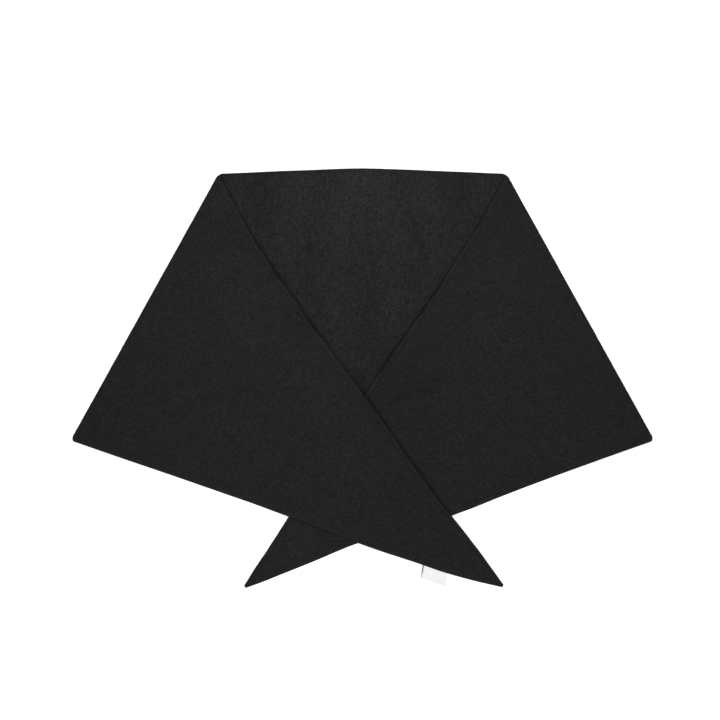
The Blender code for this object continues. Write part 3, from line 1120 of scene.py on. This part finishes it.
def brushed_cloth(colours):
    """Black brushed cloth: short matted fibres along and across the grain, lighter on the reverse, with light
    and shade painted by its edges, on its slopes and in wide patches.
    """
    look = Look("black_brushed_cloth")
    place = look.attribute(PLAN)
    grain = look.fibres(place, 4.0, 0.0010, 0.0058)
    crossing = look.fibres(place, 34.0, 0.0009, 0.0036) + look.fibres(place, -29.0, 0.0009, 0.0040)
    strays = look.fibres(place, 78.0, 0.0009, 0.0034) + look.noise(place, (0.0010, 0.0011, 0.0010), 2.0)
    tufts = look.noise(place, (0.0031, 0.0044, 0.0031), 1.0)
    clouds = look.noise(place, (0.022, 0.034, 0.022), 2.0)
    pile = grain * 0.7 + crossing * 0.8 + strays * 0.9
    reverse = look.attribute(REVERSE, "Fac")
    strong = (reverse * 0.4 + 1.0) * colours.fibre_contrast
    tufted = tufts * (1.0 - reverse * 0.7) * colours.tuft_contrast
    shade = pile * strong + tufted + clouds * colours.cloud_contrast
    # Painted light and shade: the patches and slopes, then the shade and highlight painted by the edges.
    painted_lay = look.attribute(LIGHT_AND_LAY, "Fac") * colours.light_and_lay_contrast
    level = (shade + 1.0) * (reverse * colours.reverse_gain + 1.0) * (painted_lay + 1.0)
    level = level * look.attribute(EDGE_PAINTED_LIGHT, "Fac")
    dark, light = colours.cloth_dark, colours.cloth_light
    share = look.limited((level - dark) / (light - dark)) ** colours.fibre_bias
    return look.finish({
        "Base Color": look.shades(share, colours.cloth, dark, light),
        "Roughness": look.limited(tufts * 0.25 + 0.92),
        "Specular IOR Level": 0.08,
        "Sheen Weight": colours.sheen,
        "Sheen Roughness": 0.45,
        "Sheen Tint": grey(0.6),
        "Normal": look.raised(pile + tufts * 1.2, 0.0004, colours.relief),
    })


def thread(colours):
    """Black sewing thread with its twist."""
    look = Look("black_thread")
    along, cell = strand_place(look)
    twist = look.sine(along * 40.0 + cell * 1.7)
    share = look.limited(twist * 0.3 + 0.5)
    return look.finish({
        "Base Color": look.shades(share, (colours.thread,) * 3, 0.7, 1.3),
        "Roughness": 0.8,
        "Specular IOR Level": 0.08,
        "Normal": look.raised(twist, 0.0001, 0.5),
    })


def nap_hair(colours):
    """Hair of the nap, a little lighter than the cloth and lightest at its end."""
    look = Look("black_nap")
    along, cell = strand_place(look)
    spread = look.sine(cell * 12.9898) * 0.5 + 0.5
    share = look.limited(spread * 0.7 + along * 0.3)
    return look.finish({
        "Base Color": look.shades(share, colours.cloth, colours.hair_dark, colours.hair_light),
        "Roughness": 0.8,
        "Specular IOR Level": 0.1,
    })


def woven_tape(colours):
    """White satin-woven tape: fine ribs across it, and a dark band along its folded left selvedge."""
    look = Look("white_tape")
    place = look.attribute(TAPE)
    across = look.part(place, "X")
    along = look.part(place, "Y")
    weft = look.sine(along * (2.0 * math.pi / WEFT_PITCH))
    warp = look.sine(across * (2.0 * math.pi / WARP_PITCH))
    weave = weft * 0.6 + warp * 0.4 + look.noise(place, (0.0006, 0.0002, 0.0006)) * 0.8
    soil = look.noise(place, (0.006, 0.004, 0.006), 2.0)
    share = look.limited(0.6 + weave * 0.12 + soil * 0.4)
    cloth = look.shades(share, colours.tape, 0.92, 1.04)
    return look.finish({
        "Base Color": look.mix(look.attribute(SELVEDGE, "Fac"), cloth, grey(0.03)),
        "Roughness": look.limited(0.5 + weave * 0.08),
        "Specular IOR Level": 0.45,
        "Sheen Weight": 0.15,
        "Normal": look.raised(weave, 0.00006, 0.6),
    })


def floor_paper(stage):
    """Plain pale paper."""
    look = Look("pale_paper")
    place = look.node("ShaderNodeTexCoord", out="Object")
    grain = look.noise(place, (0.004, 0.004, 0.004), 2.0)
    share = look.limited(grain + 0.5)
    return look.finish({
        "Base Color": look.shades(share, (stage.floor_shade,) * 3, 0.985, 1.0),
        "Roughness": 0.9,
        "Specular IOR Level": 0.1,
        "Emission Color": grey(1.0),
        "Emission Strength": stage.floor_glow,
    })


# --- Sizes and colours ---


def length(name, description, default):
    """A length in metres, in a panel."""
    return bpy.props.FloatProperty(
        name=name, description=description, default=default, min=0.0, precision=5,
        subtype="DISTANCE", unit="LENGTH",
    )


def number(name, description, default):
    """A plain number, in a panel."""
    return bpy.props.FloatProperty(name=name, description=description, default=default, min=0.0)


class ScarfCloth(bpy.types.PropertyGroup):
    """How the cloth's surface and edge are shaped."""

    rim_height: length("Rim height", "How far the turned edge stands above the cloth", 0.00015)
    rim_distance: length("Rim distance", "From the edge to the top of its rim", 0.0022)
    allowance: length("Seam allowance", "Width of the cloth turned in behind the edge", 0.0102)
    allowance_height: length("Allowance height", "How far the turned-in cloth lifts the face", 0.00012)
    unevenness: length("Unevenness", "Height of the cloth's soft unevenness", 0.00014)


class ScarfSewing(bpy.types.PropertyGroup):
    """The row of stitches round the edge."""

    groove_depth: length("Groove depth", "How far the stitches pull the cloth in", 0.00055)
    groove_half_width: length("Groove half width", "Half the width of the pulled-in groove", 0.00095)
    pitch: length("Pitch", "From one stitch to the next", 0.0072)
    stitch: length("Stitch length", "What shows of one stitch", 0.0052)
    radius: length("Thread radius", "Half the thickness of the thread", 0.00026)


class ScarfNap(bpy.types.PropertyGroup):
    """The brushed hairs on the cloth."""

    hairs: bpy.props.IntProperty(
        name="Hairs", description="Number of hairs on one stretch", default=14000, min=0,
    )
    strays: number("Strays", "Share of the hairs that may stand out past the edge", 0.02)
    shortest: length("Shortest", "Length of the shortest hairs", 0.0022)
    longest: length("Longest", "Length of the longest hairs", 0.0062)
    height: length("Height", "How high the highest hairs stand above their roots", 0.0009)
    radius: length("Hair radius", "Half the thickness of a hair at its root", 0.00006)
    rise: bpy.props.FloatProperty(
        name="Rise", description="Steepest angle of a hair to the cloth", default=math.radians(16.0),
        subtype="ANGLE", unit="ROTATION",
    )


class ScarfColours(bpy.types.PropertyGroup):
    """Colours of the finishes."""

    cloth: bpy.props.FloatVectorProperty(
        name="Cloth", description="Mean colour of the cloth's face", subtype="COLOR", size=3,
        default=(0.0135, 0.0135, 0.0135), min=0.0, max=1.0,
    )
    tape: bpy.props.FloatVectorProperty(
        name="Tape", description="Colour of the woven tape", subtype="COLOR", size=3,
        default=(0.78, 0.78, 0.78), min=0.0, max=1.0,
    )
    thread: number("Thread", "Lightness of the sewing thread", 0.009)
    reverse_gain: number("Reverse gain", "How much lighter the reverse side is", 0.08)
    # Painted shade at the turned seam along the edges.
    seam_painted_shade: number("Seam shade", "Lightness of the turned seam in the edge, against the cloth", 0.45)
    # Painted shade in the groove that the stitches press in, for each millimetre of its depth.
    groove_painted_shade: number("Press shade", "How much darker each millimetre of pressing makes the cloth", 0.13)
    # A painted highlight on the face's raised rim, which is painted shade on the reverse's rim.
    rim_painted_light: number("Edge gain", "How much lighter the raised edge is worn", 0.105)
    cloth_dark: number("Darkest", "Darkest fibres, against the cloth's mean", 0.4)
    cloth_light: number("Lightest", "Lightest fibres, against the cloth's mean", 2.2)
    fibre_bias: number("Fibre bias", "Above 1, the light fibres are fewer than the dark ones", 1.25)
    fibre_contrast: number("Fibre contrast", "How much the fibres vary", 1.1)
    tuft_contrast: number("Tuft contrast", "How much the tufts vary", 0.25)
    cloud_contrast: number("Cloud contrast", "How much wide patches vary", 0.10)
    # Strength of the light and shade painted on slopes and in the patches, which are partly the nap's tone.
    light_and_lay_contrast: number("Lay contrast", "How much the lie of the nap shades slopes and patches", 1.2)
    hair_dark: number("Darkest hair", "Darkest hairs, against the cloth's mean", 1.1)
    hair_light: number("Lightest hair", "Lightest hairs, against the cloth's mean", 3.0)
    sheen: number("Sheen", "Strength of the nap's sheen", 0.04)
    relief: number("Relief", "Strength of the fibres' fine relief", 0.5)


class ScarfStage(bpy.types.PropertyGroup):
    """Camera, lights and floor."""

    camera_height: length("Camera height", "Height of the camera above the floor", 2.5)
    view_width: length("View width", "Width of what the camera sees on the floor", 0.8392)
    floor_shade: number("Floor shade", "Lightness of the paper", 0.9)
    floor_glow: number("Floor glow", "How much the lit paper shines of itself", 0.4)
    box_power: number("Soft box", "Power of the soft box above the neck edge, in watts", 7.5)
    key_power: number("Key light", "Power of the light from beyond the tails, in watts", 145.0)
    top_power: number("Top light", "Power of the wide light overhead, in watts", 26.0)
    surround: number("Surround", "Strength of the light from all round", 0.28)


# --- Pieces ---


def made_once(name, make):
    """A material by its name, made the first time that it is asked for."""
    return bpy.data.materials.get(name) or make()


class SCARF_OT_cloth(bpy.types.Operator):
    """Lay out the cloth's three stretches"""

    bl_idname = "scarf.cloth"
    bl_label = "Lay Out Cloth"

    def execute(self, context):
        scene = context.scene
        finish = made_once("black_brushed_cloth", lambda: brushed_cloth(scene.scarf_colours))
        for stretch in STRETCHES:
            item = make_shell(stretch, scene.scarf_cloth, scene.scarf_sewing, scene.scarf_colours, finish)
            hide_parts(stretch.node)
        return {"FINISHED"}


def stitch_rows(stretch, cloth, sewing):
    """Each row of stitches on a stretch: how far along the edge, where on the cloth, and the way up there."""
    rows = []
    for end in ("low", "high"):
        for on_upper in (True, False):
            travel, points, normals = [], [], []
            for cut in stretch.slices:
                edge = getattr(cut, end)
                if cut.width() < 2.0 * edge.row + ROWS_APART or cut.from_tip < edge.row:
                    continue
                run = np.array([edge.inside(edge.row)])
                if on_upper:
                    offset = cut.upper(run, cloth, sewing, stretch.upper_groove)
                else:
                    offset = cut.under(run, sewing, stretch.under_groove)
                travel.append(edge.travel)
                points.append(cut.place(run, offset)[0])
                normals.append(cut.normal() if on_upper else -cut.normal())
            on_reverse = stretch.reverse_up == on_upper
            rows.append((np.array(travel), np.array(points), np.array(normals), on_reverse))
    return rows


class SCARF_OT_stitches(bpy.types.Operator):
    """Sew the row of stitches round the edge of each stretch, on both sides"""

    bl_idname = "scarf.stitches"
    bl_label = "Sew Edges"

    def execute(self, context):
        scene = context.scene
        sewing = scene.scarf_sewing
        finish = made_once("black_thread", lambda: thread(scene.scarf_colours))
        pitch, half_stitch, radius = sewing.pitch / MM, sewing.stitch / MM / 2.0, sewing.radius / MM
        share = np.linspace(-1.0, 1.0, STITCH_RINGS)
        arch = radius * (STITCH_ARCH * np.cos(share * math.pi / 2.0) - STITCH_ARCH)
        taper = radius * (1.0 - STITCH_TAPER + STITCH_TAPER * np.cos(share * math.pi / 2.0))
        for number_of, stretch in enumerate(STRETCHES):
            chance = np.random.default_rng(STITCH_SEED + number_of)
            lines, across, ups = [], [], []
            for travel, points, normals, on_reverse in stitch_rows(stretch, scene.scarf_cloth, sewing):
                middles = pitch * (0.5 + np.arange(math.ceil(travel[0] / pitch), travel[-1] // pitch))
                middles = middles + chance.normal(0.0, STITCH_STRAY, len(middles))
                reach = half_stitch * chance.uniform(*STITCH_LENGTHS, (len(middles), 1))
                at = middles[:, None] + share * reach
                on_cloth, up = (
                    np.stack([np.interp(at, travel, known[:, axis]) for axis in range(3)], axis=-1)
                    for known in (points, normals)
                )
                up = unit(up)
                sink = radius * STITCH_SINK[on_reverse]
                line = on_cloth + up * (arch - sink)[:, None]
                line[..., 2] = np.maximum(line[..., 2], radius)
                along = np.gradient(line, axis=1)
                side = unit(np.cross(along, up))
                lines.append(line)
                across.append(side)
                ups.append(np.cross(side, along) / np.linalg.norm(along, axis=-1, keepdims=True))
            lines, across, ups = (np.concatenate(x) for x in (lines, across, ups))
            cells = np.arange(len(lines)) % CELLS ** 2
            radii = np.broadcast_to(taper, lines.shape[:2])
            strands(stretch.name + "_stitches", lines, across, ups, radii, STITCH_SIDES, cells, finish)
        return {"FINISHED"}


class SCARF_OT_nap(bpy.types.Operator):
    """Raise the brushed nap on what shows of each stretch"""

    bl_idname = "scarf.nap"
    bl_label = "Raise Nap"

    def execute(self, context):
        scene = context.scene
        nap = scene.scarf_nap
        finish = made_once("black_nap", lambda: nap_hair(scene.scarf_colours))
        for number_of, stretch in enumerate(STRETCHES):
            self.raise_nap(scene, nap, finish, stretch, np.random.default_rng(NAP_SEED + number_of))
        return {"FINISHED"}

    def raise_nap(self, scene, nap, finish, stretch, chance):
        """Hairs on one stretch, rooted evenly over what shows of it, and closer along its edges."""
        points, insets = stretch.upper_grid(scene.scarf_cloth, scene.scarf_sewing)
        a, b, c = points[:-1, :-1], points[1:, :-1], points[:-1, 1:]
        normal = np.cross(b - a, c - a)
        area = np.linalg.norm(normal, axis=2)
        normal *= np.sign(normal[len(normal) // 2, normal.shape[1] // 2, 2])
        normal /= np.maximum(area, 1e-9)[..., None]
        weight = area * (1.0 + NAP_EDGE * (insets[:-1, :-1] < NAP_EDGE_INSET))
        weight *= stretch.room(a[..., 0], a[..., 1]) > ROOT_ROOM
        chosen = chance.choice(weight.size, nap.hairs, p=weight.ravel() / weight.sum())
        i, j = np.unravel_index(chosen, weight.shape)
        s, t = chance.uniform(0.0, 1.0, (2, nap.hairs, 1))
        root = a[i, j] + s * (b[i, j] - a[i, j]) + t * (c[i, j] - a[i, j])
        up = normal[i, j]

        along_grain = chance.uniform(0.0, 1.0, nap.hairs) < 0.5
        with_grain = chance.normal(0.0, ALONG_TURN, nap.hairs)
        turn = np.where(along_grain, with_grain, chance.uniform(-CROSS_TURN, CROSS_TURN, nap.hairs))
        turn += math.pi * (chance.uniform(0.0, 1.0, nap.hairs) < 0.5)
        long = chance.uniform(nap.shortest, nap.longest, nap.hairs) / MM
        rise = chance.uniform(LEAST_RISE, 1.0, nap.hairs) * nap.rise
        bend = chance.normal(0.0, HAIR_BEND, nap.hairs)

        def heading(angle, climb):
            level = np.stack((
                stretch.grain[0] * np.cos(angle) - stretch.grain[1] * np.sin(angle),
                stretch.grain[0] * np.sin(angle) + stretch.grain[1] * np.cos(angle),
                np.zeros_like(angle),
            ), axis=1)
            level = safe_unit(level - up * (level * up).sum(axis=1, keepdims=True))
            return level * np.cos(climb)[:, None] + up * np.sin(climb)[:, None]

        radius = nap.radius / MM
        half = long[:, None] / 2.0
        stray = chance.uniform(0.0, 1.0, nap.hairs) < nap.strays
        for _ in range(2):
            first, second = heading(turn, rise), heading(turn + bend, rise * END_RISE)
            end = root + (first + second) * half
            leaves = (stretch.room(end[:, 0], end[:, 1]) < END_ROOM) & ~stray
            turn = turn + math.pi * leaves
        kept = ~leaves
        root, up, half, first, second = (part[kept] for part in (root, up, half, first, second))
        line = np.stack((root, root + first * half, root + first * half + second * half), axis=1)
        line[..., 2] = np.clip(line[..., 2], radius * HAIR_FLOOR, root[:, None, 2] + nap.height / MM)
        along = np.stack((first, first + second, second), axis=1)
        across = safe_unit(np.cross(along, up[:, None]))
        over = safe_unit(np.cross(across, along))
        radii = radius * HAIR_TAPER * chance.uniform(*HAIR_THICKNESS, (len(root), 1))
        cells = chance.integers(0, CELLS ** 2, len(root))
        strands(stretch.name + "_nap", line, across, over, radii, HAIR_SIDES, cells, finish, end_caps=1)


def tape_path():
    """The folded tape from its side: out of the seam, down onto the surface, round its end and back."""
    low, high = TAPE_REST
    down = np.linspace(TAPE_START, LABEL_LENGTH - TAPE_END, TAPE_STEPS)
    turn = np.linspace(math.pi / 2.0, -math.pi / 2.0, TAPE_TURNS)
    settle = ease(down, *TAPE_SETTLE)
    upper = (HALF + TAPE_PART) * (1.0 - settle) + high * settle
    lower = (HALF - TAPE_PART) * (1.0 - settle) + low * settle
    centre, radius = (high + low) / 2.0, (high - low) / 2.0
    end = np.stack((down[-1] + radius * TAPE_NOSE * np.cos(turn), centre + radius * np.sin(turn)), axis=1)
    return np.concatenate((
        np.stack((down, upper), axis=1), end[1:-1], np.stack((down, lower), axis=1)[::-1],
    ))


class SCARF_OT_label(bpy.types.Operator):
    """Sew the folded tape into the lower edge of the left tail"""

    bl_idname = "scarf.label"
    bl_label = "Sew In Tape"

    def execute(self, context):
        colours = context.scene.scarf_colours
        finish = made_once("white_tape", lambda: woven_tape(colours))
        path = tape_path()
        along = unit(np.gradient(path, axis=0))
        outward = np.stack((-along[:, 1], along[:, 0]), axis=1)
        travel = np.concatenate(([0.0], np.linalg.norm(np.diff(path, axis=0), axis=1).cumsum()))
        count, width = len(path), LABEL_REACH[1] - LABEL_REACH[0]
        points, places, edges = [], [], []
        for i in range(TAPE_COLUMNS + 1):
            share = i / TAPE_COLUMNS
            reach = LABEL_REACH[0] + width * share
            root_x, root_y = LEFT.plan(reach, LEFT.lower(reach))
            from_side = min(share, 1.0 - share) * width
            bead = 1.0 + TAPE_BEAD * bump(from_side - TAPE_BEAD_WIDTH, TAPE_BEAD_WIDTH)
            half = TAPE_THICK / 2.0 * bead
            selvedge = 1.0 - ease(share * width, *TAPE_SELVEDGE)
            for side in (1.0, -1.0):
                step = 1 if side > 0.0 else -1
                ring = (path + outward * half * side)[::step]
                fading = ease(ring[:, 0], TAPE_FADE, LABEL_LENGTH)
                rising = ease(ring[:, 0], TAPE_LIFT_START, LABEL_LENGTH)
                lift = TAPE_LIFT * bump(share - 1.0, TAPE_LIFT_WIDTH) * rising
                x = root_x - TAPE_ASIDE + LABEL_SKEW * ring[:, 0]
                points.append(np.stack((x, root_y - ring[:, 0], ring[:, 1] + lift), axis=1))
                across, which = np.full(count, share * width), np.full(count, side)
                places.append(np.stack((across, travel[::step], which), axis=1))
                edges.append(selvedge * (1.0 - TAPE_FADED * fading))
        points, places, edges = np.concatenate(points), np.concatenate(places) * MM, np.concatenate(edges)
        size = 2 * count
        faces = ring_quads(TAPE_COLUMNS + 1, size)[:, [0, 3, 2, 1]].tolist()
        for k in range(count - 1):
            end = [k, k + 1, size - 2 - k, size - 1 - k]
            faces.append(end)
            faces.append([v + TAPE_COLUMNS * size for v in reversed(end)])
        item = new_piece("label_tape", points, faces, finish)
        mesh = item.data
        give(mesh, TAPE, places, "vector")
        give(mesh, SELVEDGE, edges)
        beside = places[:, 0] + (places[:, 2] < 0.0) * TAPE_MAP_UNDER
        spread = np.stack((beside, places[:, 1]), axis=1) / TAPE_MAP
        give_map(mesh, spread[np.concatenate(faces)] + TAPE_MAP_MARGIN)
        smooth(mesh, TAPE_SHARP)
        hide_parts("label")
        return {"FINISHED"}


class SCARF_OT_stage(bpy.types.Operator):
    """Set the camera, the lights and the pale floor"""

    bl_idname = "scarf.stage"
    bl_label = "Set Stage"

    def execute(self, context):
        scene = context.scene
        stage = scene.scarf_stage

        floor_mesh = bpy.data.meshes.new("floor")
        corners = [(x * FLOOR_REACH, y * FLOOR_REACH, FLOOR_LEVEL) for x, y in FLOOR_CORNERS]
        floor_mesh.from_pydata(corners, [], [(0, 1, 2, 3)])
        floor_mesh.materials.append(floor_paper(stage))
        floor = bpy.data.objects.new("floor", floor_mesh)
        context.collection.objects.link(floor)

        for name, place, size, power in LIGHTS:
            self.area_light(name, place, size, getattr(stage, power))
        world = bpy.data.worlds.new("studio")
        world.use_nodes = True
        sky = world.node_tree.nodes["Background"]
        sky.inputs["Color"].default_value = (1.0, 1.0, 1.0, 1.0)
        sky.inputs["Strength"].default_value = stage.surround
        scene.world = world

        camera = bpy.data.cameras.new("camera")
        camera.sensor_width = SENSOR_WIDTH
        camera.lens = camera.sensor_width * (stage.camera_height - VIEW_LEVEL) / stage.view_width
        view = bpy.data.objects.new("camera", camera)
        view.location = (*CAMERA_PLACE, stage.camera_height)
        context.collection.objects.link(view)
        scene.camera = view
        scene.view_settings.view_transform = "Standard"
        return {"FINISHED"}

    def area_light(self, name, place, size, power):
        """A soft square light that looks at the scarf."""
        light = bpy.data.lights.new(name, "AREA")
        light.shape = "RECTANGLE"
        light.size = light.size_y = size
        light.energy = power
        item = bpy.data.objects.new(name, light)
        item.location = place
        item.rotation_euler = (-Vector(place)).to_track_quat("-Z", "Y").to_euler()
        bpy.context.collection.objects.link(item)


class SCARF_PT_panel(bpy.types.Panel):
    """The scarf's sizes, colours and steps"""

    bl_label = "Muffler Scarf"
    bl_idname = "SCARF_PT_panel"
    bl_space_type = "VIEW_3D"
    bl_region_type = "UI"
    bl_category = "Scarf"

    def draw(self, context):
        layout = self.layout
        for title, group, kind in GROUPS:
            box = layout.box()
            box.label(text=title)
            for name in kind.__annotations__:
                box.prop(getattr(context.scene, group), name)
        for operator in OPERATORS:
            layout.operator(operator.bl_idname)


GROUPS = (
    ("Cloth", "scarf_cloth", ScarfCloth),
    ("Sewing", "scarf_sewing", ScarfSewing),
    ("Nap", "scarf_nap", ScarfNap),
    ("Colours", "scarf_colours", ScarfColours),
    ("Stage", "scarf_stage", ScarfStage),
)
OPERATORS = (SCARF_OT_cloth, SCARF_OT_stitches, SCARF_OT_nap, SCARF_OT_label, SCARF_OT_stage)


def register():
    for _, group, kind in GROUPS:
        bpy.utils.register_class(kind)
        setattr(bpy.types.Scene, group, bpy.props.PointerProperty(type=kind))
    for kind in (*OPERATORS, SCARF_PT_panel):
        bpy.utils.register_class(kind)


def unregister():
    for kind in (SCARF_PT_panel, *reversed(OPERATORS)):
        bpy.utils.unregister_class(kind)
    for _, group, kind in reversed(GROUPS):
        delattr(bpy.types.Scene, group)
        bpy.utils.unregister_class(kind)


def state_cuts():
    """Works out the flat cut of each front, in metres: its fold's length, its reach and its area; nothing
    keeps them.
    """
    def area(front):
        reach = np.linspace(0.0, front.tip_reach, AREA_STEPS)
        width = front.lower(reach) - front.inner(reach)
        return float(((width[1:] + width[:-1]) / 2.0 * np.diff(reach)).sum()) * MM * MM

    right = ((FOLD_LENGTH * MM, RIGHT.tip_reach * MM), area(RIGHT))
    left = ((FOLD_LENGTH * MM, LEFT.tip_reach * MM), area(LEFT))


def main():
    register()
    bpy.ops.scarf.cloth()
    bpy.ops.scarf.stitches()
    bpy.ops.scarf.nap()
    bpy.ops.scarf.label()
    bpy.ops.scarf.stage()
    state_cuts()


if __name__ == "__main__":
    main()
